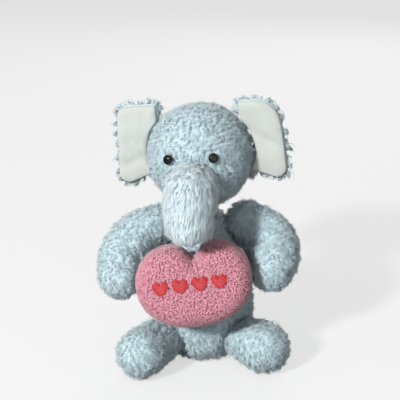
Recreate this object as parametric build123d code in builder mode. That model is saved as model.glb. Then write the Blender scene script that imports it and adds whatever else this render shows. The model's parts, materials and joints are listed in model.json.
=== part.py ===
"""Seated plush elephant that hugs a heart-shaped pillow, as the separate pieces it is sewn from.

Frame: millimetres, +Z up, origin at the middle of the base panel the toy sits on.
The toy faces -Y, so its own left side is +X.

Every stuffed part is a plush skin cut into sewn panels around a loose stuffing core.
Head, trunk, arms, legs and tail each start in a round root that turns in a dimple of the part
it is sewn to. The ears turn about their seam, and the pillow hangs from a tack on the chest.
"""

import os
from math import sqrt

from build123d import *

# Fabrics and clearances
PLUSH = 5.0  # long-pile plush, backing and pile together
LINING = 1.6  # short-pile velour inside the ears
BOUCLE = 3.0  # looped fabric of the pillow
STUFFING_GAP = 0.25  # between a skin and the stuffing it holds
DIMPLE_CLEARANCE = 0.8  # between a round root and the dimple it turns in
DIMPLE_PILE = 0.4  # how thick the flattened plush lies inside a dimple, against elsewhere

# Torso
TORSO_HEIGHT = 138.0
BASE_RADIUS = 26.0
TORSO_RADIUS = 48.0
SHOULDER_HEIGHT = 128.0
TORSO_PROFILE = [(BASE_RADIUS, 0), (38, 5), (46, 20), (TORSO_RADIUS, 42), (44, 72), (34.5, 102),
                 (26, 126), (20, TORSO_HEIGHT)]
PELLET_BAG_RADIUS = 21.0
PELLET_BAG_HALF_HEIGHT = 9.0
PELLET_BAG_CENTRE_Z = 16.0

# Neck, and the point the head turns and nods about
NECK_PIVOT = (-2, -1, 148)
NECK_RADIUS = 17.0

# Head: centre, turn about the vertical and sideways tilt
HEAD_CENTRE = (-3, -6, 195)
HEAD_TURN = -10.0
HEAD_TILT = -5.0
HEAD_RADIUS = 48.0
GUSSET_HALF_WIDTH = 15.0
HEAD = Plane(Location(HEAD_CENTRE, (0, HEAD_TILT, HEAD_TURN)))

# Trunk, as (centre in the head's frame, radius) from root to tip
TRUNK = [((0, -48.2, -15), 20.5), ((1, -65, -20), 21.5), ((2, -82, -38), 18.5)]

# Ears, in the head's frame: outward, across and up from the head's centre
EAR_TOP = 48.0
EAR_BOTTOM = -26.0
EAR_OUTER_TOP = 74.0
EAR_OUTER_BOTTOM = 79.0
EAR_INNER_TOP = 37.0
EAR_CORNER = 10.0
EAR_ROOT_RADIUS = 49.7  # the ear's inner edge follows the head at this radius
EAR_MID_Y = 6.0
EAR_HEM = 2.5  # how far the plush back shows beyond the lining

# Eyes: safety eyes, a domed button on a ridged shank that a washer locks from inside
EYE_OUT = 20.0
EYE_UP = 8.5
EYE_RADIUS = 4.5
EYE_DOME = 3.0
SHANK_RADIUS = 1.6
SHANK_LENGTH = 13.0
SHANK_RIDGE = 0.3
SHANK_RIDGES = 4
WASHER_RADIUS = 4.5
WASHER_THICKNESS = 1.5

# Limbs, as (centre, radius) from root to tip
ARM_RIGHT = [((-43, -5, 128), 20.5), ((-70, -19, 109), 23.5), ((-75, -43, 90), 20.0)]
ARM_LEFT = [((40, -5, 131), 20.5), ((62.5, -17, 113), 25.5), ((61, -41, 99), 22.0)]
LEG_RIGHT = [((-38, -32, 23.5), 20.5), ((-48, -46, 23.5), 22.5), ((-56, -60, 23.5), 23.5)]
LEG_LEFT = [((38, -32, 24), 20.5), ((47, -40, 24), 22.8), ((56, -49, 24), 24.0)]
TAIL = [((0, 50, 42), 6.0), ((0, 61, 27), 4.5), ((0, 66, 10), 6.5)]

# Pillow: centre, lean of its face off the vertical and roll in its own plane
PILLOW_CENTRE = (-8, -66, 94)
PILLOW_LEAN = 8.0
PILLOW_ROLL = 8.0
PILLOW_THICKNESS = 37.0
PILLOW_ROUNDING = 13.0
PILLOW_HALF_WIDTH = 51.0
NOTCH_HEIGHT = 20.0
LOBE_HEIGHT = 37.0
NOTCH_ROUNDING = 3.0
PILLOW = Plane(Location(PILLOW_CENTRE, (90 - PILLOW_LEAN, 0, PILLOW_ROLL)))

# Embroidery: a row of small satin-stitch hearts
MOTIF_COUNT = 4
MOTIF_PITCH = 17.0
MOTIF_WIDTH = 13.0
MOTIF_TALL = 12.0
MOTIF_HEIGHT = 1.0
MOTIF_SHIFT = (-3, 4)

# Thread tack between the chest and the pillow's back
TACK_UP = 18.0
TACK_WIDTH = 6.0
TACK_THREAD = 2.0
TACK_REACH = 14.0

DOME = (Align.CENTER, Align.CENTER, Align.MIN)  # stands a half ball on its flat side


def in_head(position=(0, 0, 0), rotation=(0, 0, 0)):
    """A plane given in the head's own frame, where the face looks along -Y."""
    return Plane(HEAD.location * Location(position, rotation))


def head_point(position):
    """A point of the head's frame in the toy's frame."""
    return in_head(position).origin


def stuffed_limb(stations, inset=0.0):
    """A round-ended limb through the stations, each a centre and a radius, drawn in by inset."""
    centres = [Vector(*centre) for centre, _ in stations]
    radii = [radius - inset for _, radius in stations]
    with BuildLine() as middle:
        Spline(*centres)
    bend = (centres[1] - centres[0]).cross(centres[2] - centres[0]).normalized()
    path = middle.edge()
    places = [0, path.param_at_point(centres[1]), 1]
    planes = [Plane(c, bend, path % at) for c, at in zip(centres, places)]
    with BuildPart() as limb:
        for plane, radius in zip(planes, radii):
            with BuildSketch(plane):
                Circle(radius)
        loft()
        with Locations(Plane(planes[0].origin, bend, -planes[0].z_dir)):
            Sphere(radii[0], arc_size1=0, align=DOME)
        with Locations(planes[-1]):
            Sphere(radii[-1], arc_size1=0, align=DOME)
    return limb.part


def in_toy(stations):
    """Stations of the head's frame in the toy's frame."""
    return [(tuple(head_point(centre)), radius) for centre, radius in stations]


def seat(station, core):
    """A root's radius, and a plane at its centre with x pointing away from the part around core."""
    centre, radius = station
    outward = Vector(*centre) - Vector(*core)
    return Plane(centre, x_dir=outward, z_dir=outward.cross(Vector(1, 1, -1))), radius


def press_dimples(seats, inset=0.0):
    """Cuts a dimple for each seated root from the part being built, its own surface drawn in by inset."""
    for plane, radius in seats:
        with Locations(plane):
            Sphere(radius + DIMPLE_CLEARANCE + inset * DIMPLE_PILE, mode=Mode.SUBTRACT)


def torso_solid(inset=0.0):
    """The pear-shaped torso on its flat base, with a dimple for each part sewn to it."""
    narrower = 1 - inset / TORSO_RADIUS
    lower = 1 - 2 * inset / TORSO_HEIGHT
    outline = [(x * narrower, inset + z * lower) for x, z in TORSO_PROFILE]
    base, top = outline[0], outline[-1]
    with BuildPart() as torso:
        with BuildSketch(Plane.YZ):
            with BuildLine():
                Spline(*outline)
                Polyline(top, (0, top[1]), (0, base[1]), base)
            make_face()
        revolve(axis=Axis.Z)
        press_dimples(TORSO_SEATS, inset)
    return torso.part


def head_solid(inset=0.0):
    """The round head, with dimples for the neck and the trunk."""
    with BuildPart() as head:
        with Locations(Plane(HEAD.origin, x_dir=HEAD.y_dir, z_dir=HEAD.x_dir)):
            Sphere(HEAD_RADIUS - inset)
        press_dimples(HEAD_SEATS, inset)
    return head.part


def skin(solid, thickness):
    """The fabric layer just under the surface of a stuffed part; solid(inset) draws that part."""
    with BuildPart() as layer:
        add(solid(0.0))
        add(solid(thickness), mode=Mode.SUBTRACT)
    return layer.part


def side_of(shape, plane, keep=Keep.TOP):
    """The part of a shape on one side of a plane."""
    with BuildPart() as half:
        add(shape)
        split(bisect_by=plane, keep=keep)
    return half.part


def save(part, name):
    """Labels a finished piece and writes its STEP file."""
    part.label = name
    export_step(part, f"parts/{name}.step")


# Where the round roots sit
NECK = (NECK_PIVOT, NECK_RADIUS)
HEAD_SEATS = [seat(NECK, HEAD_CENTRE), seat(in_toy(TRUNK)[0], HEAD_CENTRE)]
TORSO_SEATS = [seat(NECK, (0, 0, SHOULDER_HEIGHT))]
for limb in (ARM_RIGHT, ARM_LEFT, LEG_RIGHT, LEG_LEFT, TAIL):
    TORSO_SEATS.append(seat(limb[0], (0, 0, limb[0][0][2])))


def pellet_bag_solid(outset=0.0):
    """The flat round bag of pellets in the bottom of the torso, grown by outset."""
    with BuildPart() as bag:
        with BuildSketch(Plane.YZ):
            with Locations((0, PELLET_BAG_CENTRE_Z)):
                SlotOverall(2 * (PELLET_BAG_RADIUS + outset), 2 * (PELLET_BAG_HALF_HEIGHT + outset))
            split(bisect_by=Plane.YZ)
        revolve(axis=Axis.Z)
    return bag.part


def make_torso():
    """Front, back and base panels around the stuffing and the pellet bag that keeps the toy upright."""
    torso_skin = skin(torso_solid, PLUSH)
    with BuildPart() as base_panel:
        with BuildSketch():
            Circle(BASE_RADIUS)
        extrude(amount=PLUSH)
        add(torso_skin, mode=Mode.INTERSECT)
    save(base_panel.part, "torso_base_panel")

    with BuildPart() as around_base:
        add(torso_skin)
        with BuildSketch():
            Circle(BASE_RADIUS)
        extrude(amount=PLUSH, mode=Mode.SUBTRACT)
    save(side_of(around_base.part, Plane.XZ, Keep.TOP), "torso_front_panel")
    save(side_of(around_base.part, Plane.XZ, Keep.BOTTOM), "torso_back_panel")

    save(pellet_bag_solid(), "pellet_bag")
    with BuildPart() as stuffing:
        add(torso_solid(PLUSH + STUFFING_GAP))
        add(pellet_bag_solid(STUFFING_GAP), mode=Mode.SUBTRACT)
    save(stuffing.part, "torso_stuffing")


def make_neck():
    """The neck tube: a plush ball pinched between torso and head, with its own stuffing."""
    with BuildPart() as neck_skin:
        with Locations(NECK_PIVOT):
            Sphere(NECK_RADIUS)
            Sphere(NECK_RADIUS - PLUSH, mode=Mode.SUBTRACT)
    save(neck_skin.part, "neck_skin")
    with BuildPart() as neck_stuffing:
        with Locations(NECK_PIVOT):
            Sphere(NECK_RADIUS - PLUSH - STUFFING_GAP)
    save(neck_stuffing.part, "neck_stuffing")


def eye_plane(side):
    """Where an eye sits on the head, its Z pointing out; side is +1 for the toy's left."""
    forward = sqrt(HEAD_RADIUS**2 - EYE_OUT**2 - EYE_UP**2)
    out = head_point((side * EYE_OUT, -forward, EYE_UP))
    return Plane(out, z_dir=out - HEAD.origin)


def eye_hollows():
    """The bores that the eye shanks pass through and the pockets that hold their washers."""
    pocket_depth = SHANK_LENGTH + 2 * STUFFING_GAP
    with BuildPart() as hollows:
        for side in (1, -1):
            with BuildSketch(eye_plane(side)):
                Circle(SHANK_RADIUS + STUFFING_GAP)
            extrude(amount=PLUSH, both=True)
            with BuildSketch(eye_plane(side).offset(-PLUSH)):
                Circle(WASHER_RADIUS + STUFFING_GAP)
            extrude(amount=PLUSH - pocket_depth)
    return hollows.part


def make_head():
    """Two side panels and the middle gusset, the stuffing, and the eyes with their washers."""
    hollows = eye_hollows()
    with BuildPart() as pierced_skin:
        add(skin(head_solid, PLUSH))
        add(hollows, mode=Mode.SUBTRACT)
    left_seam = in_head((GUSSET_HALF_WIDTH, 0, 0), (0, 90, 0))
    right_seam = in_head((-GUSSET_HALF_WIDTH, 0, 0), (0, 90, 0))
    inner_side = side_of(pierced_skin.part, left_seam, Keep.BOTTOM)
    save(side_of(pierced_skin.part, left_seam, Keep.TOP), "head_left_panel")
    save(side_of(pierced_skin.part, right_seam, Keep.BOTTOM), "head_right_panel")
    save(side_of(inner_side, right_seam, Keep.TOP), "head_gusset")
    with BuildPart() as stuffing:
        add(head_solid(PLUSH + STUFFING_GAP))
        add(hollows, mode=Mode.SUBTRACT)
    save(stuffing.part, "head_stuffing")
    for side, name in ((1, "left"), (-1, "right")):
        make_eye(eye_plane(side), name)


def make_eye(seat, name):
    """One safety eye and the washer that grips its shank behind the plush."""
    with BuildPart() as eye:
        with BuildSketch(seat):
            Circle(EYE_RADIUS)
        extrude(amount=EYE_DOME)
        rim = eye.faces().sort_by(Axis(seat.origin, seat.z_dir))[-1].edges()
        fillet(rim, radius=EYE_DOME - 0.2)
        with BuildSketch(seat):
            Circle(SHANK_RADIUS)
        extrude(amount=-SHANK_LENGTH)
        spacing = (SHANK_LENGTH - PLUSH - 3 * WASHER_THICKNESS) / SHANK_RIDGES
        for n in range(SHANK_RIDGES):
            with BuildSketch(seat.offset(SHANK_RIDGE + n * spacing - SHANK_LENGTH)):
                Circle(SHANK_RADIUS + SHANK_RIDGE)
            extrude(amount=spacing / 2)
    save(eye.part, f"eye_{name}")
    with BuildPart() as washer:
        with BuildSketch(seat.offset(-PLUSH - STUFFING_GAP - WASHER_THICKNESS)):
            Circle(WASHER_RADIUS)
            Circle(SHANK_RADIUS + 0.05, mode=Mode.SUBTRACT)
        extrude(amount=WASHER_THICKNESS)
        fillet(washer.edges().filter_by(GeomType.CIRCLE).sort_by(SortBy.RADIUS)[-2:], radius=0.4)
    save(washer.part, f"eye_washer_{name}")


def make_trunk():
    """Top and bottom panels around the stuffing."""
    stations = in_toy(TRUNK)
    trunk_skin = skin(lambda inset: stuffed_limb(stations, inset), PLUSH)
    seam = in_head((0, -64, -17), (25, 0, 0))
    save(side_of(trunk_skin, seam, Keep.TOP), "trunk_top_panel")
    save(side_of(trunk_skin, seam, Keep.BOTTOM), "trunk_bottom_panel")
    save(stuffed_limb(stations, PLUSH + STUFFING_GAP), "trunk_stuffing")


def ear_outline(side, hem=0.0):
    """An ear's flat pattern, x outward and y up, drawn in by hem; side is +1 for the toy's left."""
    root_low = (sqrt(EAR_ROOT_RADIUS**2 - EAR_BOTTOM**2), EAR_BOTTOM)
    root_high = (EAR_INNER_TOP, sqrt(EAR_ROOT_RADIUS**2 - EAR_INNER_TOP**2))
    with BuildSketch() as ear:
        with BuildLine():
            Polyline(root_high, (EAR_INNER_TOP, EAR_TOP), (EAR_OUTER_TOP, EAR_TOP),
                     (EAR_OUTER_BOTTOM, EAR_BOTTOM), root_low)
            RadiusArc(root_low, root_high, -EAR_ROOT_RADIUS)
        make_face()
        outer_corners = ear.vertices().sort_by(Axis.X)[-2:]
        fillet(outer_corners, radius=EAR_CORNER)
        if hem:
            offset(amount=-hem, kind=Kind.ARC)
        if side < 0:
            mirror(about=Plane.YZ, mode=Mode.REPLACE)
    return ear.sketch


def make_ears():
    """Each ear is a plush back and a velour lining sewn edge to edge, and turns about its root seam."""
    for side, name in ((1, "left"), (-1, "right")):
        front_face = EAR_MID_Y - (PLUSH + LINING) / 2
        with BuildPart() as lining:
            with BuildSketch(in_head((0, front_face + LINING, 0), (90, 0, 0))):
                add(ear_outline(side, EAR_HEM))
            extrude(amount=LINING)
        save(lining.part, f"ear_{name}_lining")
        with BuildPart() as back:
            with BuildSketch(in_head((0, front_face + LINING + PLUSH, 0), (90, 0, 0))):
                add(ear_outline(side))
            extrude(amount=PLUSH)
        save(back.part, f"ear_{name}_back")


def make_limb(stations, name, seam, sides):
    """A limb of two panels, split along the seam plane, around its stuffing."""
    limb_skin = skin(lambda inset: stuffed_limb(stations, inset), PLUSH)
    save(side_of(limb_skin, seam, Keep.TOP), f"{name}_{sides[0]}_panel")
    save(side_of(limb_skin, seam, Keep.BOTTOM), f"{name}_{sides[1]}_panel")
    save(stuffed_limb(stations, PLUSH + STUFFING_GAP), f"{name}_stuffing")


def bend_plane(stations):
    """The plane that a limb bends in, through its three stations."""
    root, middle, tip = [Vector(*centre) for centre, _ in stations]
    return Plane(root, x_dir=middle - root, z_dir=(middle - root).cross(tip - root))


def make_limbs():
    """Arms split in the plane they bend in, legs level through the middle, and the one-piece tail."""
    make_limb(ARM_RIGHT, "arm_right", bend_plane(ARM_RIGHT), ("upper", "lower"))
    make_limb(ARM_LEFT, "arm_left", bend_plane(ARM_LEFT), ("lower", "upper"))
    make_limb(LEG_RIGHT, "leg_right", Plane(LEG_RIGHT[0][0]), ("upper", "lower"))
    make_limb(LEG_LEFT, "leg_left", Plane(LEG_LEFT[0][0]), ("upper", "lower"))
    save(stuffed_limb(TAIL), "tail")


def pillow_outline():
    """The pillow's core outline, one rounding smaller than the finished heart."""
    half_width = PILLOW_HALF_WIDTH - PILLOW_ROUNDING
    top = LOBE_HEIGHT - PILLOW_ROUNDING
    notch = (0, NOTCH_HEIGHT - PILLOW_ROUNDING)
    with BuildSketch() as heart:
        with BuildLine():
            lobe = ThreePointArc(notch, (half_width / 2, top), (half_width, top / 4))
            Spline(lobe @ 1, (0, -top), tangents=[lobe % 1, (-1, 0)])
            mirror(about=Plane.YZ)
        make_face()
        fillet(heart.vertices().sort_by(Axis.Y)[-1], radius=PILLOW_ROUNDING + NOTCH_ROUNDING)
    return heart.sketch


def motif_outline():
    """One small embroidered heart, with a sharp notch and point."""
    with BuildSketch() as motif:
        with BuildLine():
            top = (MOTIF_WIDTH / 4, MOTIF_TALL / 2)
            lobe = ThreePointArc((0, MOTIF_TALL / 4), top, (MOTIF_WIDTH / 2, MOTIF_TALL / 5))
            TangentArc(lobe @ 1, (0, -MOTIF_TALL / 2), tangent=lobe % 1)
            mirror(about=Plane.YZ)
        make_face()
    return motif.sketch


def pillow_solid(inset=0.0):
    """The puffed heart: its flat core rounded out on every side."""
    core_height = PILLOW_THICKNESS - 2 * PILLOW_ROUNDING
    with BuildPart() as pillow:
        with BuildSketch(PILLOW.offset(-core_height / 2)):
            add(pillow_outline())
        extrude(amount=core_height)
        offset(amount=PILLOW_ROUNDING - inset, kind=Kind.ARC)
    return pillow.part


def make_pillow():
    """Front and back panels around the stuffing, and the row of embroidered motifs."""
    cover = skin(pillow_solid, BOUCLE)
    save(side_of(cover, PILLOW, Keep.TOP), "pillow_front_panel")
    save(side_of(cover, PILLOW, Keep.BOTTOM), "pillow_back_panel")
    save(pillow_solid(BOUCLE + STUFFING_GAP), "pillow_stuffing")
    with BuildPart() as embroidery:
        with BuildSketch(PILLOW.offset(PILLOW_THICKNESS / 2)):
            with Locations(MOTIF_SHIFT):
                with GridLocations(MOTIF_PITCH, 0, MOTIF_COUNT, 1):
                    add(motif_outline())
        extrude(amount=MOTIF_HEIGHT)
    save(embroidery.part, "pillow_embroidery")

    with BuildPart() as tack:
        with BuildSketch(PILLOW.offset(-PILLOW_THICKNESS / 2 - STUFFING_GAP)):
            with Locations((0, TACK_UP)):
                SlotCenterToCenter(TACK_WIDTH, TACK_THREAD)
        extrude(amount=-TACK_REACH)
        add(torso_solid(), mode=Mode.SUBTRACT)
    save(tack.part, "pillow_tack")


os.makedirs("parts", exist_ok=True)
make_torso()
make_neck()
make_head()
make_trunk()
make_ears()
make_limbs()
make_pillow()
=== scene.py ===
"""Looks of the seated plush elephant, built around its CAD frame. Metres, +Z up, the toy faces -Y.

Each stuffed part starts from its CAD stuffing, is puffed out by a cloth simulation and then grows
a curly pile of small closed tufts. The pillow grows bouclé loops, and carries stitched hearts.
"""

import json
import math

import bmesh
import bpy
import numpy as np
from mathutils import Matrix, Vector
from mathutils.bvhtree import BVHTree


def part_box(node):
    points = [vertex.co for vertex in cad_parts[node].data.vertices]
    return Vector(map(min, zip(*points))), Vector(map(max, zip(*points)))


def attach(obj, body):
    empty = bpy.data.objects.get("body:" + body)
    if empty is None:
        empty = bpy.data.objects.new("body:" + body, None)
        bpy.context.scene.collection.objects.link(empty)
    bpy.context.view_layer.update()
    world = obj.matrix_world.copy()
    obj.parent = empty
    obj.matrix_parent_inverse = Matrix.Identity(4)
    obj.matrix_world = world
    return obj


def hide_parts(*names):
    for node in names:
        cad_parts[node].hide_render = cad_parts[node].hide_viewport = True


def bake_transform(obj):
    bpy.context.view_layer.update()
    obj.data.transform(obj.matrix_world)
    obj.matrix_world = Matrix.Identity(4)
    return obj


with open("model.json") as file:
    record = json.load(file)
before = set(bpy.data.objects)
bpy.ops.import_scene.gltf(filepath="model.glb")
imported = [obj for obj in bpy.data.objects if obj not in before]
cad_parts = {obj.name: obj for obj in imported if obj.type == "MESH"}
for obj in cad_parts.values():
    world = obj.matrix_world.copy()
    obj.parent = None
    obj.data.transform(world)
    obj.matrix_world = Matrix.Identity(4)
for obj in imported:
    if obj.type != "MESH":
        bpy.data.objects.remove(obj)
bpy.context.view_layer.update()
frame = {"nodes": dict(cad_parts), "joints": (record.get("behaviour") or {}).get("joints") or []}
joints = {joint["name"]: joint for joint in frame["joints"]}
MM = 0.001
THINNING = 1
THICKENING = 1.0  # and makes them this much thicker


# ---- places taken from the frame -------------------------------------------------------------

def unit(v):
    """Vectors scaled to length one."""
    v = np.asarray(v, float)
    return v / np.maximum(np.linalg.norm(v, axis=-1, keepdims=True), 1e-12)


def pivot(joint):
    """A point on a joint's axis."""
    return np.array(joints[joint]["pos_m"])


def centre(node):
    """The middle of a CAD node's box."""
    low, high = (np.array(corner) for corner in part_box(node))
    return (low + high) / 2


HEAD_X = -unit(joints["trunk_lift"]["axis"])
HEAD_Z = unit(joints["ear_right_flap"]["axis"])
HEAD_Y = unit(np.cross(HEAD_Z, HEAD_X))
HEAD = centre("head_stuffing")
EYES = [centre("eye_left"), centre("eye_right")]


def in_head(x, y, z):
    """A point given in millimetres in the head's own frame, where the face looks along -Y."""
    return HEAD + (x * HEAD_X + y * HEAD_Y + z * HEAD_Z) * MM


# ---- mesh helpers ----------------------------------------------------------------------------

def new_object(name, vertices, faces, smooth=True):
    """A mesh object from arrays; faces are lists of index arrays that share a corner count."""
    mesh = bpy.data.meshes.new(name)
    corners = np.concatenate([f.ravel() for f in faces]).astype(np.int32)
    counts = np.concatenate([np.full(len(f), f.shape[1]) for f in faces]).astype(np.int32)
    starts = np.concatenate([[0], np.cumsum(counts)[:-1]]).astype(np.int32)
    mesh.vertices.add(len(vertices))
    mesh.vertices.foreach_set("co", np.asarray(vertices, np.float32).ravel())
    mesh.loops.add(len(corners))
    mesh.loops.foreach_set("vertex_index", corners)
    mesh.polygons.add(len(counts))
    mesh.polygons.foreach_set("loop_start", starts)
    mesh.polygons.foreach_set("loop_total", counts)
    mesh.polygons.foreach_set("use_smooth", np.full(len(counts), smooth))
    mesh.update(calc_edges=True)
    mesh.validate()
    obj = bpy.data.objects.new(name, mesh)
    bpy.context.scene.collection.objects.link(obj)
    return obj


def positions(mesh):
    """Every vertex's place, as an array."""
    co = np.empty(len(mesh.vertices) * 3, np.float32)
    mesh.vertices.foreach_get("co", co)
    return co.reshape(-1, 3).astype(float)


def normals(mesh):
    """Every vertex's normal, as an array."""
    n = np.empty(len(mesh.vertices) * 3, np.float32)
    mesh.vertex_normals.foreach_get("vector", n)
    return n.reshape(-1, 3).astype(float)


def set_positions(mesh, co):
    """Moves every vertex to its place in an array."""
    mesh.vertices.foreach_set("co", np.asarray(co, np.float32).ravel())
    mesh.update()


def bake_modifiers(obj):
    """Replaces the object's mesh by what its modifiers make of it."""
    bpy.context.view_layer.update()
    graph = bpy.context.evaluated_depsgraph_get()
    mesh = bpy.data.meshes.new_from_object(obj.evaluated_get(graph))
    obj.modifiers.clear()
    obj.data = mesh


def copy_of(name, node):
    """A new object with a copy of a CAD node's mesh."""
    obj = bpy.data.objects.new(name, frame["nodes"][node].data.copy())
    obj.data.materials.clear()
    bpy.context.scene.collection.objects.link(obj)
    return obj


def puff(obj, pressure, cap, frames=20):
    """Inflates a closed mesh as cloth, moving no point further than cap, outward only."""
    start, outward = positions(obj.data), normals(obj.data)
    cloth = obj.modifiers.new("Cloth", "CLOTH")
    cloth.settings.quality = 6
    cloth.settings.mass = 0.15
    cloth.settings.tension_stiffness = 12
    cloth.settings.compression_stiffness = 8
    cloth.settings.bending_stiffness = 0.6
    cloth.settings.use_pressure = True
    cloth.settings.uniform_pressure_force = pressure
    cloth.settings.effector_weights.gravity = 0
    cloth.point_cache.frame_start = 1
    cloth.point_cache.frame_end = frames
    for number in range(1, frames + 1):
        bpy.context.scene.frame_set(number)
    bake_modifiers(obj)
    bpy.context.scene.frame_set(1)
    move = positions(obj.data) - start
    far = np.linalg.norm(move, axis=1, keepdims=True)
    move *= np.minimum(1, cap / np.maximum(far, 1e-9))
    inward = np.minimum(np.sum(move * outward, axis=1, keepdims=True), 0)
    set_positions(obj.data, start + move - inward * outward)


def remeshed(name, node, voxel):
    """A copy of a CAD node's mesh in even squares of about voxel millimetres."""
    obj = copy_of(name, node)
    remesh = obj.modifiers.new("Remesh", "REMESH")
    remesh.mode = "VOXEL"
    remesh.voxel_size = voxel * MM
    bake_modifiers(obj)
    return obj


PUFF_CAP = 0.8  # how far the cloth may inflate past its evenly swollen start, in millimetres
SKIN_REST = 0.8  # how high the lowest cloth lies off the floor, so that the pile fits under it


def padded(name, node, voxel=4.0, swell=1.8, pressure=4.0, floor=True):
    """The soft skin of a stuffed part: its CAD stuffing, remeshed, inflated and smoothed."""
    obj = remeshed(name, node, voxel)
    set_positions(obj.data, positions(obj.data) + normals(obj.data) * swell * MM)
    puff(obj, pressure, PUFF_CAP * MM)
    subdivide = obj.modifiers.new("Subdivide", "SUBSURF")
    subdivide.levels = 1
    bake_modifiers(obj)
    if floor:
        co = positions(obj.data)
        co[:, 2] = np.maximum(co[:, 2], SKIN_REST * MM)
        set_positions(obj.data, co)
    obj.data.polygons.foreach_set("use_smooth", np.full(len(obj.data.polygons), True))
    return obj


def triangles(mesh):
    """The vertices of a mesh's faces, cut into triangles."""
    mesh.calc_loop_triangles()
    tri = np.empty(len(mesh.loop_triangles) * 3, np.int32)
    mesh.loop_triangles.foreach_get("vertices", tri)
    return tri.reshape(-1, 3)


def scatter(mesh, area_each, rng):
    """Points spread over a mesh, one for each area_each in mm², with their normals."""
    co, no, tri = positions(mesh), normals(mesh), triangles(mesh)
    a, b, c = (co[tri[:, k]] for k in range(3))
    area = np.linalg.norm(np.cross(b - a, c - a), axis=1) / 2
    count = int(area.sum() / (area_each * MM * MM))
    steps = (np.arange(count) + rng.random(count)) / count
    pick = np.minimum(np.searchsorted(np.cumsum(area) / area.sum(), steps), len(tri) - 1)
    r1, r2 = np.sqrt(rng.random(count)), rng.random(count)
    weights = np.stack([1 - r1, r1 * (1 - r2), r1 * r2], axis=1)[:, :, None]
    points = (co[tri[pick]] * weights).sum(axis=1)
    return points, unit((no[tri[pick]] * weights).sum(axis=1))


def nearest(points, targets):
    """The index of the closest target for each point, worked out in blocks to spare memory."""
    found = np.empty(len(points), int)
    size = 2000
    for first in range(0, len(points), size):
        block = points[first:first + size]
        gaps = ((block[:, None] - targets[None]) ** 2).sum(axis=2)
        found[first:first + size] = gaps.argmin(axis=1)
    return found


def flatten(vectors, normal):
    """The part of each vector that lies in the surface."""
    return vectors - np.sum(vectors * normal, axis=1, keepdims=True) * normal


# ---- pile ------------------------------------------------------------------------------------

SIDES = 3  # sides of every strand of pile
BEND_ALONG, BEND_WIDTH = 0.55, 0.82  # where a tuft bends, and how wide it is there
TUFT_SPREAD = (0.2, 0.5, 0.8, 0.2, 0.5, 0.8, 0.5)  # where a tuft's corners lie across its UV strip
LOOP_SPREAD = (0.2, 0.5, 0.8) * 5  # the same for a loop of bouclé
SHADES = 16  # each strand takes one of this many shades, which share strips of the UV map


def tufts(roots, mids, tips, widths, rng):
    """Vertices and faces of closed three-sided tufts that taper and bend from root to tip."""
    axis = unit(tips - roots)
    side = unit(np.cross(axis, unit(rng.normal(size=roots.shape))))
    other = np.cross(axis, side)
    count = len(roots)
    rings = []
    for place, share in ((roots, 1.0), (mids, BEND_WIDTH)):
        for k in range(SIDES):
            turn = k * 2 * math.pi / SIDES
            spoke = side * math.cos(turn) + other * math.sin(turn)
            rings.append(place + spoke * (widths * share)[:, None])
    vertices = np.stack(rings + [tips], axis=1).reshape(-1, 3)
    tip = 2 * SIDES
    base = np.arange(count)[:, None] * (tip + 1)
    quads, points = [], []
    for k in range(SIDES):
        after = (k + 1) % SIDES
        quads.append(base + np.array([[k, after, after + SIDES, k + SIDES]]))
        points.append(base + np.array([[k + SIDES, after + SIDES, tip]]))
    foot = [base + np.arange(SIDES)[::-1]]
    along = np.tile([0.0] * SIDES + [BEND_ALONG] * SIDES + [1.0], count)
    return vertices, np.concatenate(quads), np.concatenate(points + foot), along


LUMP_SIZE, LUMP_RISE = 9.0, 1.1  # the larger lumps under the pile, in millimetres
LUMP_STEEPNESS, LUMP_DIP = 1.6, -0.4  # how fast a lump falls off, and how far it dips between lumps


def raise_lumps(mesh, centres, size, rise):
    """Swells the skin around each centre, as locks of pile do. Size and rise are in millimetres."""
    ground = positions(mesh)
    gap = np.linalg.norm(ground - centres[nearest(ground, centres)], axis=1) / (size * MM)
    lift = np.clip(1 - gap * LUMP_STEEPNESS, LUMP_DIP, 1) * rise * MM
    set_positions(mesh, ground + normals(mesh) * lift[:, None])


TUFT_LENGTHS, LOCK_LENGTHS, TUFT_WIDTHS = (0.75, 1.15), (0.8, 1.15), (0.7, 1.2)  # as shares
STRAY_SHARE, STRAY_LENGTH = 0.07, 1.35  # few tufts stand out, and how much longer they are
SWAY = 0.09  # how far each tuft strays on its own, as a share of its length
BEND_STAND, BEND_LIE = 0.8, 0.4  # how much of its standing and lying a tuft has done where it bends
ROOT_DEPTH = 0.8  # how far a strand starts inside the cloth, in millimetres
PILE_REST, STRAND_REST = 0.3, 0.1  # how close to the floor a strand's middle and its corners come
LOCK_SHADE = 0.55  # how much of a tuft's shade it takes from its lock


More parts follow.
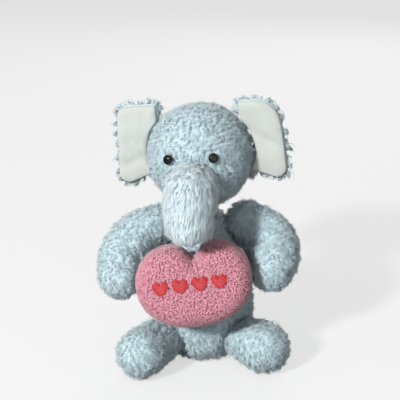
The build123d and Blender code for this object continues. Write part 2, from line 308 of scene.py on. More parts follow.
def grow(skin, name, seed, comb, area=1.25, length=6.5, width=0.27, lie=0.62, stand=0.5, clump=3.4,
         pull=0.25, curl=0.26, lump=0.4, keep=None, wild=1.3, soft=0.72):
    """Grows a pile on the skin and joins both into one piece. Lengths are in millimetres.

    Area is the cloth for each tuft; lie, stand and curl are shares of its length. Locks are clump
    apart and draw their tufts in by pull; they run along comb, more or less straight for less or
    more wild. Keep tells which roots to grow, and soft is as in join_pile.
    """
    rng = np.random.default_rng(seed)
    for size, rise in ((LUMP_SIZE, LUMP_RISE), (clump, lump)):
        centres, centre_normal = scatter(skin.data, size * size, rng)
        raise_lumps(skin.data, centres, size, rise)
    roots, normal = scatter(skin.data, area * THINNING, rng)
    if keep is not None:
        kept = keep(roots, normal)
        roots, normal = roots[kept], normal[kept]
    count = len(roots)
    lock = nearest(roots, centres)
    to_lock = flatten(centres[lock] - roots, normal)
    heading = unit(flatten(rng.normal(size=centres.shape), centre_normal)) * wild
    heading += comb(centres, centre_normal)
    heading = unit(flatten(heading[lock], normal))
    across = np.cross(normal, heading) * rng.choice([-1, 1], len(centres))[lock][:, None]
    size = length * MM * rng.uniform(*TUFT_LENGTHS, count) * rng.uniform(*LOCK_LENGTHS, len(centres))[lock]
    size = (size * np.where(rng.random(count) < STRAY_SHARE, STRAY_LENGTH, 1.0))[:, None]
    sway = unit(rng.normal(size=roots.shape)) * size * SWAY
    mids = roots + normal * size * stand * BEND_STAND + heading * size * lie * BEND_LIE + to_lock * pull
    mids += across * size * curl + sway
    tips = roots + normal * size * stand + heading * size * lie + to_lock * pull * 2 + sway
    widths = width * THICKENING * MM * rng.uniform(*TUFT_WIDTHS, count)
    roots = roots - normal * ROOT_DEPTH * MM
    for place in (roots, mids, tips):
        place[:, 2] = np.maximum(place[:, 2], PILE_REST * MM)
    vertices, quads, points, along = tufts(roots, mids, tips, widths, rng)
    vertices[:, 2] = np.maximum(vertices[:, 2], STRAND_REST * MM)
    lock_shade = rng.random(len(centres))[lock]
    shade = LOCK_SHADE * lock_shade + (1 - LOCK_SHADE) * rng.random(count)
    shade = np.floor(shade * SHADES) / SHADES
    return join_pile(skin, name, vertices, (quads, points), along, shade, normal, TUFT_SPREAD, soft)


def join_pile(skin, name, vertices, faces, along, shade, normal, spread, soft=0.72):
    """One piece from a skin and the pile on it; each strand has a shade, a normal and UV places.

    Soft is how much a strand is lit as the cloth under it is, rather than on its own.
    """
    ground, ground_tri = positions(skin.data), triangles(skin.data)
    shift = len(ground)
    faces = [ground_tri] + [f + shift for f in faces]
    piece = new_object(name, np.concatenate([ground, vertices]), faces)
    shades = np.repeat(shade, len(spread))
    # the skin under the pile takes the root colour, and with it the painted shade
    store(piece.data, "along", np.concatenate([np.zeros(shift), along]))
    store(piece.data, "shade", np.concatenate([np.full(shift, 0.5), shades]))
    map_strips(piece.data, shift, spread)
    lit = normals(piece.data)
    lit[shift:] = unit(lit[shift:] * (1 - soft) + np.repeat(normal, len(spread), axis=0) * soft)
    piece.data.normals_split_custom_set_from_vertices(lit.tolist())
    bpy.data.objects.remove(skin)
    return piece


def store(mesh, name, values):
    """Keeps one number for each vertex, for the materials to read."""
    mesh.attributes.new(name, "FLOAT", "POINT").data.foreach_set("value", values.astype(np.float32))


SKIN_FLOOR, SKIN_HEIGHT = 0.02, 0.45  # the band of the UV map for the skin
STRAND_FLOOR, STRAND_HEIGHT = 0.52, 0.45  # and the one above it for the strands


def map_strips(mesh, shift, spread):
    """A UV map in which the skin fills the lower half and strands of one shade share a strip above."""
    corner = np.empty(len(mesh.loops), np.int32)
    mesh.loops.foreach_get("vertex_index", corner)
    co = positions(mesh)
    low, high = co.min(axis=0), co.max(axis=0)
    share = (co - low) / (high - low)
    around = np.arctan2(share[:, 0] - 0.5, share[:, 1] - 0.5) / (2 * math.pi) + 0.5
    uv = np.stack([around, share[:, 2] * SKIN_HEIGHT + SKIN_FLOOR], axis=1)[corner]
    shade, along = np.empty(len(co)), np.empty(len(co))
    mesh.attributes["shade"].data.foreach_get("value", shade)
    mesh.attributes["along"].data.foreach_get("value", along)
    ring = np.array(spread)[(np.arange(len(co)) - shift) % len(spread)]
    strip = np.stack([shade + ring / SHADES, STRAND_FLOOR + STRAND_HEIGHT * along], axis=1)
    strand = corner >= shift
    uv[strand] = strip[corner[strand]]
    layer = mesh.uv_layers.new(name="OFBake")
    layer.data.foreach_set("uv", uv.astype(np.float32).ravel())


def tubes(paths, radius, sides, hint):
    """Closed tubes along paths (count, steps, 3); hint (count, 3) must not run along its path."""
    count, steps = paths.shape[:2]
    along = unit(np.gradient(paths, axis=1))
    side = unit(np.cross(along, hint[:, None]))
    other = np.cross(along, side)
    turn = np.arange(sides) * 2 * math.pi / sides
    spokes = side[:, :, None] * np.cos(turn)[:, None] + other[:, :, None] * np.sin(turn)[:, None]
    vertices = (paths[:, :, None] + spokes * radius).reshape(-1, 3)
    base = np.arange(count)[:, None] * steps * sides
    k = np.arange(sides)
    walls = []
    for low in range(0, (steps - 1) * sides, sides):
        high = low + sides
        for a in k:
            after = (a + 1) % sides
            walls.append(base + np.array([[low + a, low + after, high + after, high + a]]))
    caps = [base + k[::-1], base + (steps - 1) * sides + k]
    return vertices, np.concatenate(walls), np.concatenate(caps)


SEARCH = 30  # how far off another part can matter to a root, in millimetres


def clear_of(*nodes, by):
    """A test that keeps only roots that stand clear of other parts' stuffing, by millimetres."""
    trees = []
    for node in nodes:
        mesh = frame["nodes"][node].data
        trees.append(BVHTree.FromPolygons(positions(mesh).tolist(), triangles(mesh).tolist()))

    def keep(points, normal):
        kept = np.ones(len(points), bool)
        for tree in trees:
            for k, point in enumerate(points):
                if not kept[k]:
                    continue
                at = Vector(point)
                hit, face_normal, _, gap = tree.find_nearest(at, SEARCH * MM)
                if hit is None:
                    continue
                inside = (at - hit).dot(face_normal) < 0
                kept[k] = not inside and gap > by * MM
        return kept
    return keep


def both(*tests):
    """A test that keeps only the roots that every given test keeps."""
    return lambda points, normal: np.logical_and.reduce([test(points, normal) for test in tests])


def away_from(centres, radius):
    """A test that keeps roots further than radius, in millimetres, from every centre."""
    def keep(points, normal):
        gaps = np.linalg.norm(points[:, None] - np.array(centres)[None], axis=2).min(axis=1)
        return gaps > radius * MM
    return keep


def combed(flow):
    """A combing direction that is the same everywhere, laid flat on the skin."""
    return lambda points, normal: flatten(np.tile(flow, (len(points), 1)), normal)


def along_axis(start, end, droop):
    """A combing direction from start to end, with some droop."""
    return combed(unit(end - start) + np.array([0, 0, -droop]))


# ---- materials -------------------------------------------------------------------------------

def material(name, **inputs):
    """A new material with its node tree and main shader, whose plain inputs are given by name."""
    mat = bpy.data.materials.new(name)
    mat.use_nodes = True
    tree = mat.node_tree
    shader = tree.nodes["Principled BSDF"]
    for key, value in inputs.items():
        shader.inputs[key.replace("_", " ")].default_value = value
    return mat, tree, shader


def node(tree, kind, **inputs):
    """A new shader node, whose plain inputs are given by name."""
    made = tree.nodes.new(kind)
    for key, value in inputs.items():
        made.inputs[key.replace("_", " ")].default_value = value
    return made


def ramp(tree, source, stops):
    """The colour that a number makes on a ramp of (place, colour) stops."""
    made = tree.nodes.new("ShaderNodeValToRGB")
    tree.links.new(source, made.inputs["Fac"])
    elements = made.color_ramp.elements
    while len(elements) < len(stops):
        elements.new(0.5)
    for element, (place, colour) in zip(elements, stops):
        element.position = place
        element.color = (*colour, 1)
    return made.outputs["Color"]


def attribute(tree, name):
    """A number kept for each vertex."""
    made = tree.nodes.new("ShaderNodeAttribute")
    made.attribute_name = name
    return made.outputs["Fac"]


def multiply(tree, a, b):
    """One colour times another."""
    made = tree.nodes.new("ShaderNodeMix")
    made.data_type = "RGBA"
    made.blend_type = "MULTIPLY"
    made.inputs["Factor"].default_value = 1
    tree.links.new(a, made.inputs["A"])
    tree.links.new(b, made.inputs["B"])
    return made.outputs["Result"]


def grain(tree, shader, scale, strength, distance, low, high, detail=3.0):
    """Fine noise that drives bump and roughness."""
    place = tree.nodes.new("ShaderNodeTexCoord")
    noise = node(tree, "ShaderNodeTexNoise", Scale=scale, Detail=detail)
    tree.links.new(place.outputs["Object"], noise.inputs["Vector"])
    bump = node(tree, "ShaderNodeBump", Strength=strength, Distance=distance)
    tree.links.new(noise.outputs["Fac"], bump.inputs["Height"])
    tree.links.new(bump.outputs["Normal"], shader.inputs["Normal"])
    rough = node(tree, "ShaderNodeMapRange", To_Min=low, To_Max=high)
    tree.links.new(noise.outputs["Fac"], rough.inputs["Value"])
    tree.links.new(rough.outputs["Result"], shader.inputs["Roughness"])
    return noise.outputs["Fac"]


def grey(level):
    """A linear grey."""
    return (level,) * 3


def srgb(*levels):
    """Linear colour from 0 to 255 display levels, by the sRGB curve."""
    share = np.array(levels) / 255
    return tuple(np.where(share <= 0.04045, share / 12.92, ((share + 0.055) / 1.055) ** 2.4))


def pile_material(name, root, tip, dark, bright):
    """Curly pile: darker at the root, by painted shade where the strands crowd, and paler at the tip; each
    lock's own tone lies between dark and bright.
    """
    mat, tree, shader = material(name, Sheen_Weight=0.5, Sheen_Roughness=0.45, Specular_IOR_Level=0.2)
    middle = tuple(np.add(root, tip) / 2)
    # painted shade: the colour darkens from tip to root, where the pile shades itself
    length = ramp(tree, attribute(tree, "along"), [(0.0, root), (0.45, middle), (1.0, tip)])
    variety = ramp(tree, attribute(tree, "shade"), [(0.0, grey(dark)), (1.0, grey(bright))])
    tree.links.new(multiply(tree, length, variety), shader.inputs["Base Color"])
    grain(tree, shader, scale=1800, strength=0.35, distance=0.0004, low=0.72, high=0.95)
    return mat


def spots(tree, scale, low, high):
    """A colour that wanders between low and high in soft patches."""
    place = tree.nodes.new("ShaderNodeTexCoord").outputs["Object"]
    noise = node(tree, "ShaderNodeTexNoise", Scale=scale, Detail=4.0)
    tree.links.new(place, noise.inputs["Vector"])
    return ramp(tree, noise.outputs["Fac"], [(0.3, low), (0.7, high)])


def velour_material():
    """Short nap, with soft patches of painted sheen in its colour where the nap would catch the light."""
    mat, tree, shader = material("ear_velour", Sheen_Weight=0.6, Specular_IOR_Level=0.15)
    fibres = spots(tree, 2600, grey(0.93), grey(1.0))
    # painted sheen: lighter and darker patches in the colour stand for light caught by the nap
    patches = spots(tree, 60, srgb(191, 196, 187), srgb(202, 208, 204))
    tree.links.new(multiply(tree, patches, fibres), shader.inputs["Base Color"])
    grain(tree, shader, scale=1500, strength=0.45, distance=0.0005, low=0.8, high=0.98)
    return mat


def thread_material(name, low, high, rough):
    """Shiny thread with fibres along it."""
    mat, tree, shader = material(name, Sheen_Weight=0.4)
    tree.links.new(spots(tree, 700, low, high), shader.inputs["Base Color"])
    grain(tree, shader, scale=5000, strength=0.3, distance=0.0002, low=rough, high=rough + 0.15)
    return mat


def woven_material():
    """Plain weave cotton of the pellet bag."""
    mat, tree, shader = material("pellet_cloth", Roughness=0.85)
    place = tree.nodes.new("ShaderNodeTexCoord").outputs["Object"]
    threads = []
    for direction in ("X", "Z"):
        wave = node(tree, "ShaderNodeTexWave", Scale=350.0, Distortion=0.6)
        wave.bands_direction = direction
        tree.links.new(place, wave.inputs["Vector"])
        threads.append(wave.outputs["Color"])
    bump = node(tree, "ShaderNodeBump", Strength=0.5, Distance=0.0003)
    tree.links.new(multiply(tree, *threads), bump.inputs["Height"])
    tree.links.new(bump.outputs["Normal"], shader.inputs["Normal"])
    tree.links.new(spots(tree, 300, srgb(206, 203, 192), srgb(226, 223, 214)), shader.inputs["Base Color"])
    return mat


def hard_material(name, low, high, rough, **inputs):
    """Moulded plastic, with faint marks in its gloss."""
    mat, tree, shader = material(name, Coat_Roughness=0.03, **inputs)
    tree.links.new(spots(tree, 400, low, high), shader.inputs["Base Color"])
    grain(tree, shader, scale=900, strength=0.04, distance=0.0001, low=rough, high=rough + 0.08)
    return mat


def fill_material():
    """Loose polyester fibre."""
    mat, tree, shader = material("fibre_fill", Sheen_Weight=0.5)
    tree.links.new(spots(tree, 500, srgb(216, 216, 212), srgb(242, 242, 240)), shader.inputs["Base Color"])
    grain(tree, shader, scale=700, strength=0.7, distance=0.001, low=0.85, high=1.0, detail=8.0)
    return mat


# each pile's root colour is darker than its tip by painted shade among the strands
PLUSH = pile_material("curly_plush", srgb(193, 215, 222), srgb(211, 233, 239), 0.9, 1.02)
# painted light: the trunk's pile is paler than the rest of the pile, for the key lamp falling on the trunk
LIT_TRUNK_PLUSH = pile_material("trunk_plush", srgb(220, 239, 246), srgb(234, 250, 255), 0.94, 1.0)
# painted shade: each bouclé loop is darker at its foot, in the valleys between loops, and paler at its crown
BOUCLE = pile_material("pink_boucle", srgb(190, 118, 134), srgb(234, 168, 182), 0.88, 1.03)
VELOUR = velour_material()
RED_THREAD = thread_material("red_thread", srgb(176, 26, 38), srgb(206, 44, 54), 0.35)
GREY_THREAD = thread_material("tack_thread", srgb(150, 165, 173), srgb(180, 194, 200), 0.6)
EYE_PLASTIC = hard_material("eye_plastic", srgb(12, 12, 14), srgb(20, 20, 23), 0.16,
                            Coat_Weight=0.35, Specular_IOR_Level=0.3)
WASHER_PLASTIC = hard_material("washer_plastic", srgb(206, 206, 200), srgb(218, 218, 212), 0.42)
FILL = fill_material()
PELLET_CLOTH = woven_material()


# ---- stuffed parts ---------------------------------------------------------------------------

def finish_piece(piece, mat, body, nodes):
    """Gives a piece its material, hides the CAD nodes that it stands in for and, when a body is given,
    attaches it to that body.
    """
    piece.data.materials.append(mat)
    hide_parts(*nodes)
    if body:
        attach(piece, body)


def blend_across(piece):
    """Bakes a piece's placement into its mesh; the piece stays on no body."""
    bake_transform(piece)


LIMBS = {"arm_left": "swing", "arm_right": "swing", "leg_left": "splay", "leg_right": "splay"}


def make_torso():
    """The torso's pile, which keeps clear of the limbs and the neck."""
    skin = padded("torso_skin", "torso_stuffing")
    keep = clear_of(*(f"{limb}_stuffing" for limb in LIMBS), "neck_stuffing", by=2.0)
    piece = grow(skin, "torso_plush", 11, combed([0, 0, -0.7]), keep=keep)
    panels = [f"torso_{panel}_panel" for panel in ("front", "back", "base")]
    finish_piece(piece, PLUSH, "torso", panels)


def make_neck():
    """The short tube between torso and head."""
    skin = padded("neck_skin_soft", "neck_stuffing", voxel=3.0, floor=False)
    piece = grow(skin, "neck_plush", 12, combed([0, 0, -1.0]))
    finish_piece(piece, PLUSH, "neck", ["neck_skin"])


def away_from_point(place, strength):
    """A combing direction away from a place given in the head's frame."""
    return lambda points, normal: flatten(unit(points - in_head(*place)) * strength, normal)


BROW = (0, -30, 60)  # the pile falls back and down from here, in the head's frame
EYE_CLEARANCE = 4.1  # the bare ring around each bead, in millimetres from its middle


def make_head():
    """The head's pile, bare where the trunk, the neck and the eyes meet it."""
    skin = padded("head_skin", "head_stuffing", floor=False)
    comb = away_from_point(BROW, 0.7)
    keep = both(clear_of("trunk_stuffing", "neck_stuffing", by=2.0), away_from(EYES, EYE_CLEARANCE))
    piece = grow(skin, "head_plush", 13, comb, keep=keep)
    finish_piece(piece, PLUSH, "head", ["head_left_panel", "head_right_panel", "head_gusset"])


TIP_HEIGHT, TIP_SHARE = 12, 0.68  # the end of the trunk, and how much of its length is left


def make_trunk():
    """The trunk, whose round end is pressed a little flat."""
    skin = padded("trunk_skin", "trunk_stuffing", swell=4.2, floor=False)
    co = positions(skin.data)
    below = np.clip(co[:, 2].min() + TIP_HEIGHT * MM - co[:, 2], 0, None)
    co[:, 2] += below * (1 - TIP_SHARE)
    set_positions(skin.data, co)
    root, middle = pivot("trunk_lift"), centre("trunk_stuffing")
    comb = along_axis(root, middle, droop=1.1)
    piece = grow(skin, "trunk_plush", 14, comb, area=0.9, length=8.0, width=0.3, lie=0.9, stand=0.3,
                 wild=0.2, clump=5.0, curl=0.1, soft=0.85)
    finish_piece(piece, LIT_TRUNK_PLUSH, None, ["trunk_top_panel", "trunk_bottom_panel"])
    blend_across(piece)


def make_limb(limb, motion, seed):
    """An arm or a leg, whose pile is combed away from its joint and keeps clear of the torso."""
    stuffing = f"{limb}_stuffing"
    skin = padded(f"{limb}_skin", stuffing)
    root, middle = pivot(f"{limb}_{motion}"), centre(stuffing)
    keep = clear_of("torso_stuffing", by=1.5)
    piece = grow(skin, f"{limb}_plush", seed, along_axis(root, middle, droop=0.5), keep=keep)
    finish_piece(piece, PLUSH, None, [f"{limb}_upper_panel", f"{limb}_lower_panel"])
    blend_across(piece)


def make_tail():
    """The small tail, with a shorter pile."""
    skin = padded("tail_skin", "tail", voxel=2.5, swell=0.5)
    root, middle = pivot("tail_lift"), centre("tail")
    piece = grow(skin, "tail_plush", 21, along_axis(root, middle, droop=0.4), area=2.0, length=5.0)
    finish_piece(piece, PLUSH, None, ["tail"])
    blend_across(piece)


# ---- ears ------------------------------------------------------------------------------------

def outline_of(node, count):
    """Even points around a flat ear node's edge, as x and z in the head's frame."""
    co = positions(frame["nodes"][node].data) - HEAD
    edge = np.unique(np.round(np.column_stack([co @ HEAD_X, co @ HEAD_Z]), 5), axis=0)
    from_middle = edge - (edge.min(axis=0) + edge.max(axis=0)) / 2
    edge = edge[np.argsort(np.arctan2(from_middle[:, 1], from_middle[:, 0]))]
    edge = np.vstack([edge, edge[:1]])
    length = np.concatenate([[0], np.cumsum(np.linalg.norm(np.diff(edge, axis=0), axis=1))])
    at = np.linspace(0, length[-1], count, endpoint=False)
    return np.column_stack([np.interp(at, length, edge[:, k]) for k in (0, 1)])


CORNER_ROUNDING = 0.01  # how much a soft top corner is drawn in, for each mm² past where it starts
RING_CROWDING = 0.85  # below 1, the rings of a pad lie closer together near its edge


def pad(name, node, outline, reach, soft_corner, front, back, warp, around=120, rings=18):
    """A soft flat pad at a node's depth; front and back give its surface in mm at a place 0 to 1.

    Soft_corner is how far out plus up, in millimetres, the top corner starts to round off.
    """
    edge = outline_of(outline, around)
    middle = (edge.min(axis=0) + edge.max(axis=0)) / 2
    edge = middle + (edge - middle) * reach
    past = np.clip(edge.sum(axis=1) / MM - soft_corner, 0, None)
    edge = edge - (past ** 2 * CORNER_ROUNDING * MM)[:, None]
    depth = (positions(frame["nodes"][node].data) - HEAD) @ HEAD_Y
    sheets = []
    for face in (front, back):
        for ring in range(1, rings + 1):
            if face is back and ring == rings:
                continue
            share = (ring / rings) ** RING_CROWDING
            flat = middle + (edge - middle) * share
            y = (depth.min() + depth.max()) / 2 + face(share) * MM
            sheets.append(np.column_stack([flat[:, 0], np.full(around, y), flat[:, 1]]))
        sheets.append(np.array([[middle[0], depth.mean() + face(0.0) * MM, middle[1]]]))
    local = np.concatenate(sheets)
    local[:, 1] += warp(local[:, 0] / MM, local[:, 2] / MM) * MM
    k = np.arange(around)
    after = (k + 1) % around
    hub, back_start = rings * around, rings * around + 1
    back_hub = back_start + (rings - 1) * around
    quads, tris = [], [np.column_stack([np.full(around, hub), after, k])]
    for ring in range(rings - 1):
        low, high = ring * around, (ring + 1) * around
        quads.append(np.column_stack([low + k, low + after, high + after, high + k]))
    for ring in range(rings - 1):
        low = back_start + ring * around
        high = low + around if ring < rings - 2 else (rings - 1) * around
        quads.append(np.column_stack([low + after, low + k, high + k, high + after]))
    tris.append(np.column_stack([np.full(around, back_hub), back_start + k, back_start + after]))
    world = HEAD + local[:, :1] * HEAD_X + local[:, 1:2] * HEAD_Y + local[:, 2:] * HEAD_Z
    made = new_object(name, world, [np.concatenate(tris), np.concatenate(quads)])
    turned = bmesh.new()
    turned.from_mesh(made.data)
    bmesh.ops.recalc_face_normals(turned, faces=turned.faces)
    turned.to_mesh(made.data)
    turned.free()
    return made


# each fold of an ear: how far it lifts, a place on it, its direction and its width
LEFT_FOLDS = [
    (1.5, (66, 36), (0.78, -0.62), 3.5),
    (1.1, (58, 12), (0.85, -0.53), 4),
    (-0.9, (72, 26), (0.7, -0.7), 3.5),
]
RIGHT_FOLDS = [
    (1.2, (-60, -4), (0.92, 0.38), 5),
    (-0.7, (-58, 22), (0.97, -0.2), 7),
]


def folded(x, z, folds):
    """How far the folds lift an ear at places across and up it."""
    depth = np.zeros(len(x))
    for lift, at, along, width in folds:
        away = (x - at[0]) * -along[1] + (z - at[1]) * along[0]
        depth += lift * np.exp(-(away / width) ** 2)
    return depth


def ease(distance, span):
    """From 0 to 1 over a span, slowly at first."""
    return np.clip(distance / span, 0, 1) ** 2


def warp_left(x, z):
    """Depth of the toy's left ear, in millimetres: its top corner leans back and gathers."""
    lean, wave = 3.5 * ease(x + z - 92, 30), 0.8 * np.sin(z / 9)
    return lean + folded(x, z, LEFT_FOLDS) + wave


def warp_right(x, z):
    """Depth of the toy's right ear, in millimetres: it is smoother and its edge curls forward."""
    curl, wave = 1.6 * ease(-x - 66, 14), 0.7 * np.sin(z / 11 + 1)
    return folded(x, z, RIGHT_FOLDS) + wave - curl


def dome(depth, power, middle=0.0):
    """A pad's surface, which rises by depth over its middle and turns in at its edge."""
    return lambda share: middle + depth * (1 - share ** power) ** 0.5


LINING_REACH = 0.975  # the lining's size as a share of the ear's back
EAR_START, EAR_END, EAR_DEPTH = 44, 60, 6  # where an ear starts and ends to bend, in the head's frame


def make_ear(side, name, warp, soft_corner, seed):
    """An ear of two pads: a velour lining, and a back whose pile runs out over the edges."""
    back_node = f"ear_{name}_back"
    lining = pad(f"ear_{name}_velour", f"ear_{name}_lining", back_node, LINING_REACH, soft_corner,
                 dome(-2.6, 5), dome(0, 1, middle=0.3), warp)
    puff(lining, 1.5, 1.2 * MM)
    finish_piece(lining, VELOUR, None, [f"ear_{name}_lining"])
    skin = pad(f"ear_{name}_skin", back_node, back_node, 1.0, soft_corner, dome(-1.6, 8), dome(2.6, 3), warp)

    def behind(points, normal):
        """Keeps the back and the rim."""
        return normal @ HEAD_Y > -0.25
    comb = away_from_point((side * EAR_END, EAR_DEPTH, 10), 1.3)
    piece = grow(skin, f"ear_{name}_plush", seed, comb, area=0.9, length=7.5, width=0.42, keep=behind,
                 stand=0.35, lie=0.75, pull=0.6, clump=5.0, soft=0.3)
    finish_piece(piece, PLUSH, None, [back_node])
    for part in (lining, piece):
        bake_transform(part)


# ---- pillow ----------------------------------------------------------------------------------

PILLOW_X = -unit(joints["pillow_rock"]["axis"])
MOTIFS = positions(frame["nodes"]["pillow_embroidery"].data)
PILLOW_OUT = np.linalg.svd(MOTIFS - MOTIFS.mean(axis=0), full_matrices=False)[2][2]
PILLOW_OUT = PILLOW_OUT * -np.sign(PILLOW_OUT[1])
PILLOW_UP = np.cross(PILLOW_OUT, PILLOW_X)
PILLOW_UP = PILLOW_UP * np.sign(PILLOW_UP[2])
PILLOW = centre("pillow_stuffing")


def on_pillow(points):
    """Places across and up the pillow's face."""
    return np.column_stack([(points - PILLOW) @ PILLOW_X, (points - PILLOW) @ PILLOW_UP])


MOTIF_GAP = 2  # the least gap between two motifs, in millimetres


def motif_edges():
    """Each motif's outline on the pillow's face, as closed loops of places."""
    flat = np.unique(np.round(on_pillow(MOTIFS), 5), axis=0)
    flat = flat[np.argsort(flat[:, 0])]
    gaps = np.diff(flat[:, 0]) > MOTIF_GAP * MM
    groups = np.split(flat, np.nonzero(gaps)[0] + 1)
    edges = []
    for group in groups:
        away = group - (group.min(axis=0) + group.max(axis=0)) / 2
        edges.append(group[np.argsort(np.arctan2(away[:, 1], away[:, 0]))])
    return edges


def inside(edge, places):
    """Which places lie within a closed outline."""
    found = np.zeros(len(places), bool)
    for a, b in zip(edge, np.roll(edge, -1, axis=0)):
        if a[1] == b[1]:
            continue
        spans = (places[:, 1] >= min(a[1], b[1])) & (places[:, 1] < max(a[1], b[1]))
        cut = a[0] + (places[:, 1] - a[1]) * (b[0] - a[0]) / (b[1] - a[1])
        found ^= spans & (places[:, 0] < cut)
    return found


NOTCH_DEPTH, NOTCH_ACROSS, NOTCH_WIDTH = 9.0, 4, 8  # in millimetres on the pillow's face
NOTCH_FROM, NOTCH_SPAN = 2, 22  # how far up the face the press begins, and over what height it grows
SEAM_DEPTH, SEAM_WIDTH = 2.0, 1.8  # how the edge seam draws the cloth in, in millimetres


def deepen_notch(mesh):
    """Presses the heart's notch in further, a little towards the toy's left."""
    co = positions(mesh)
    across, up = on_pillow(co).T / MM
    depth = NOTCH_DEPTH * np.exp(-((across - NOTCH_ACROSS) / NOTCH_WIDTH) ** 2)
    depth *= ease(up - NOTCH_FROM, NOTCH_SPAN)
    set_positions(mesh, co - PILLOW_UP * depth[:, None] * MM)


def draw_seam(mesh):
    """Draws the cloth in along the pillow's edge."""
    co = positions(mesh)
    off_seam = (co - PILLOW) @ PILLOW_OUT / MM
    depth = SEAM_DEPTH * np.exp(-(off_seam / SEAM_WIDTH) ** 2)
    set_positions(mesh, co - normals(mesh) * depth[:, None] * MM)


LOOP_AREA = 2.6  # the cloth for each loop, in mm²
LOOP_SPAN = np.array([-0.7, -1.05, 0.0, 1.05, 0.7])[None, :, None]  # a loop's path along the cloth
LOOP_RISE = np.array([-0.5, 1.0, 1.75, 1.0, -0.5])[None, :, None]  # and up from it, in millimetres
# the loop's foot takes the pile's painted shade
LOOP_ALONG = (0.0, 0.6, 1.0, 0.6, 0.0)  # the same path from root to crown, for its colour
LOOP_SLANT, LOOP_SIZES, YARN = 0.35, (0.8, 1.25), 0.42  # how it leans, its scale, its radius in mm
MARGIN = 0.1  # how much larger than a motif the patch without loops is, as a share of it


def loops(roots, normal, rng):
    """Vertices and faces of the bouclé's loops, with each vertex's height in its loop."""
    across = unit(flatten(rng.normal(size=roots.shape), normal))
    size = rng.uniform(*LOOP_SIZES, len(roots))[:, None, None] * THICKENING * MM
    lean = unit(flatten(rng.normal(size=roots.shape), normal))[:, None] * np.clip(LOOP_RISE, 0, 2)
    path = across[:, None] * LOOP_SPAN + normal[:, None] * LOOP_RISE + lean * LOOP_SLANT
    paths = roots[:, None] + path * size
    vertices, walls, caps = tubes(paths, YARN * MM, SIDES, np.cross(across, normal))
    along = np.tile(np.repeat(LOOP_ALONG, SIDES), len(roots))
    return vertices, (walls, caps), along


def make_pillow():
    """Bouclé loops over a puffed heart that is drawn in along its edge seam."""
    fill = remeshed("pillow_fill", "pillow_stuffing", voxel=3)
    deepen_notch(fill.data)
    finish_piece(fill, FILL, "pillow", ["pillow_stuffing"])
    skin = padded("pillow_skin", "pillow_stuffing", voxel=3.0, swell=1.6, pressure=6.0)
    deepen_notch(skin.data)
    draw_seam(skin.data)
    face = BVHTree.FromPolygons(positions(skin.data).tolist(), triangles(skin.data).tolist())
    edges = motif_edges()
    rng = np.random.default_rng(31)
    roots, normal = scatter(skin.data, LOOP_AREA * THINNING, rng)
    places = on_pillow(roots)
    patches = [edge + (edge - edge.mean(axis=0)) * MARGIN for edge in edges]
    covered = np.logical_or.reduce([inside(patch, places) for patch in patches])
    covered &= normal @ PILLOW_OUT > 0
    roots, normal = roots[~covered], normal[~covered]
    vertices, faces, along = loops(roots, normal, rng)
    shade = np.floor(rng.random(len(roots)) * SHADES) / SHADES
    piece = join_pile(skin, "pillow_boucle", vertices, faces, along, shade, normal, LOOP_SPREAD)
    finish_piece(piece, BOUCLE, "pillow", ["pillow_front_panel", "pillow_back_panel"])
    make_embroidery(face, edges)


# satin stitches, in millimetres: the pitch of their rows, where the first row lies, the shortest
# stitch, its height over the cloth at its ends, how much more it rises over its middle, and its radius
STITCH_PITCH, STITCH_START, STITCH_LEAST = 0.55, 0.2, 0.8
STITCH_LOW, STITCH_CROWN, STITCH_RADIUS = 1.4, 0.9, 0.36
STITCH_SLANT, STITCH_STEPS, STITCH_SIDES = math.radians(24), 9, 6
# the cord round each motif, in millimetres over the cloth and in radius
BORDER_HEIGHT, BORDER_RADIUS = 1.5, 0.55
BORDER_STEPS, BORDER_SIDES = 49, 8


def raised(face, places, heights):
    """Points above the pillow's cloth at places on its face."""
    points = []
    for (x, up), height in zip(places, heights):
        start = PILLOW + PILLOW_X * x + PILLOW_UP * up + PILLOW_OUT * 50 * MM
        hit = face.ray_cast(Vector(start), Vector(-PILLOW_OUT))[0]
        points.append(np.array(hit) + PILLOW_OUT * height)
    return np.array(points)


def satin_rows(edge):
    """Slanting rows across an outline, each as (places, how far along it each place is)."""
    cos, sin = math.cos(STITCH_SLANT), math.sin(STITCH_SLANT)
    turn = np.array([[cos, -sin], [sin, cos]])
    a = edge @ turn
    b = np.roll(a, -1, axis=0)
    t = np.linspace(0, 1, STITCH_STEPS)
    for level in np.arange(a[:, 1].min() + STITCH_START * MM, a[:, 1].max(), STITCH_PITCH * MM):
        crosses = (a[:, 1] - level) * (b[:, 1] - level) < 0
        first, last = a[crosses], b[crosses]
        share = (level - first[:, 1]) / (last[:, 1] - first[:, 1])
        cuts = np.sort(first[:, 0] + share * (last[:, 0] - first[:, 0]))
        for low, high in zip(cuts[::2], cuts[1::2]):
            if high - low > STITCH_LEAST * MM:
                yield np.column_stack([low + (high - low) * t, np.full(STITCH_STEPS, level)]) @ turn.T, t


def border_of(edge):
    """Even places once round an outline."""
    closed = np.vstack([edge, edge[:1]])
    length = np.concatenate([[0], np.cumsum(np.linalg.norm(np.diff(closed, axis=0), axis=1))])
    at = np.linspace(0, length[-1], BORDER_STEPS)
    return np.column_stack([np.interp(at, length, closed[:, k]) for k in (0, 1)])


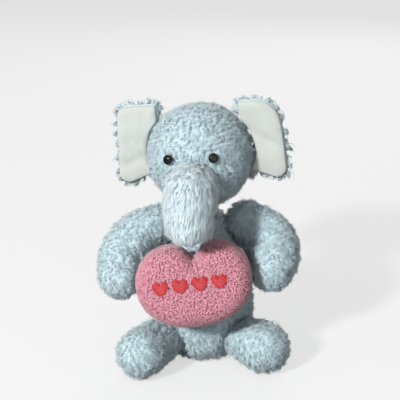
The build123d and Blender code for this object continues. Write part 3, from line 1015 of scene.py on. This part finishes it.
def make_embroidery(face, edges):
    """Satin stitch hearts: close rows of thread laid across each outline, and a corded border."""
    rows, borders = [], []
    for edge in edges:
        for places, t in satin_rows(edge):
            rows.append(raised(face, places, (STITCH_LOW + STITCH_CROWN * np.sin(t * math.pi) ** 0.6) * MM))
        borders.append(raised(face, border_of(edge), np.full(BORDER_STEPS, BORDER_HEIGHT * MM)))
    vertices, faces, shift = [], [], 0
    for paths, radius, sides in ((rows, STITCH_RADIUS, STITCH_SIDES), (borders, BORDER_RADIUS, BORDER_SIDES)):
        points, walls, caps = tubes(np.array(paths), radius * MM, sides, np.tile(PILLOW_OUT, (len(paths), 1)))
        vertices.append(points)
        faces += [walls + shift, caps + shift]
        shift += len(points)
    piece = new_object("pillow_hearts", np.concatenate(vertices), faces)
    finish_piece(piece, RED_THREAD, "pillow", ["pillow_embroidery"])


# ---- hard and hidden parts -------------------------------------------------------------------

def dress(name, mat):
    """Gives a CAD node that is shown as it is its material."""
    data = frame["nodes"][name].data
    data.materials.clear()
    data.materials.append(mat)
    for polygon in data.polygons:
        polygon.material_index = 0


def dress_nodes():
    """Gives every CAD node that is shown its material, picked by a word in its name."""
    looks = {"stuffing": FILL, "washer": WASHER_PLASTIC, "tack": GREY_THREAD, "pellet_bag": PELLET_CLOTH}
    for name in frame["nodes"]:
        for word, mat in looks.items():
            if word in name:
                dress(name, mat)
    for name in ("eye_left", "eye_right"):
        dress(name, EYE_PLASTIC)


make_torso()
make_neck()
make_head()
make_trunk()
for number, (limb, motion) in enumerate(LIMBS.items(), start=15):
    make_limb(limb, motion, number)
make_tail()
make_ear(1, "left", warp_left, 95, 19)
make_ear(-1, "right", warp_right, math.inf, 20)
make_pillow()
dress_nodes()


# ---- stage -----------------------------------------------------------------------------------

FLOOR_SHADE, FLOOR_GLOW = 0.27, 0.64  # the floor's own grey, and the light it adds in the picture only
FLOOR_HALF = 12.0
CAMERA_TARGET, CAMERA_DISTANCE = Vector((-0.003, 0, 0.150)), 0.9
CAMERA_ELEVATION, CAMERA_LENS = math.radians(18), 87.5


def make_stage():
    """A wide pale floor, which glows a little for the camera only."""
    mat, tree, shader = material("studio_white", Roughness=1.0, Specular_IOR_Level=0.0)
    shader.inputs["Base Color"].default_value = (*grey(FLOOR_SHADE), 1)
    seen = tree.nodes.new("ShaderNodeLightPath").outputs["Is Camera Ray"]
    glow = node(tree, "ShaderNodeMath", Value=FLOOR_GLOW)
    glow.operation = "MULTIPLY"
    tree.links.new(seen, glow.inputs[1])
    tree.links.new(glow.outputs[0], shader.inputs["Emission Strength"])
    shader.inputs["Emission Color"].default_value = (1, 1, 1, 1)
    corners = np.array([(-1, -1, 0), (1, -1, 0), (1, 1, 0), (-1, 1, 0)]) * FLOOR_HALF
    floor = new_object("studio_floor", corners, [np.array([[0, 1, 2, 3]])], smooth=False)
    floor.data.materials.append(mat)


def make_sky(light, seen):
    """Even light from all round, which the camera sees at a shade of its own."""
    world = bpy.data.worlds.new("soft_sky")
    world.use_nodes = True
    tree = world.node_tree
    background = tree.nodes["Background"]
    background.inputs["Color"].default_value = (1, 1, 1, 1)
    shade = node(tree, "ShaderNodeMapRange", To_Min=light, To_Max=seen)
    tree.links.new(tree.nodes.new("ShaderNodeLightPath").outputs["Is Camera Ray"], shade.inputs["Value"])
    tree.links.new(shade.outputs["Result"], background.inputs["Strength"])
    bpy.context.scene.world = world


def lamp(name, place, target, size, watts):
    """A round soft lamp that faces its target."""
    light = bpy.data.lights.new(name, "AREA")
    light.shape = "DISK"
    light.size = size
    light.energy = watts
    obj = bpy.data.objects.new(name, light)
    obj.location = place
    obj.rotation_euler = (Vector(target) - Vector(place)).to_track_quat("-Z", "Y").to_euler()
    bpy.context.scene.collection.objects.link(obj)


def make_camera():
    """The camera in front of the toy, looking a little down at it."""
    data = bpy.data.cameras.new("camera")
    data.lens = CAMERA_LENS
    camera = bpy.data.objects.new("camera", data)
    back = Vector((0, -math.cos(CAMERA_ELEVATION), math.sin(CAMERA_ELEVATION)))
    camera.location = CAMERA_TARGET + CAMERA_DISTANCE * back
    camera.rotation_euler = (math.pi / 2 - CAMERA_ELEVATION, 0, 0)
    bpy.context.scene.collection.objects.link(camera)
    bpy.context.scene.camera = camera


make_stage()
lamp("key", (-1.5, -2.2, 1.5), (0, 0, 0.13), size=0.35, watts=96)
lamp("fill", (0.5, -1.5, 0.3), (0, 0, 0.1), size=1.2, watts=3)
lamp("back", (0.5, 1.7, 1.3), (0, 0, 0.13), size=1.5, watts=12)
make_camera()
make_sky(light=0.34, seen=0.86)
bpy.context.scene.view_settings.view_transform = "Standard"
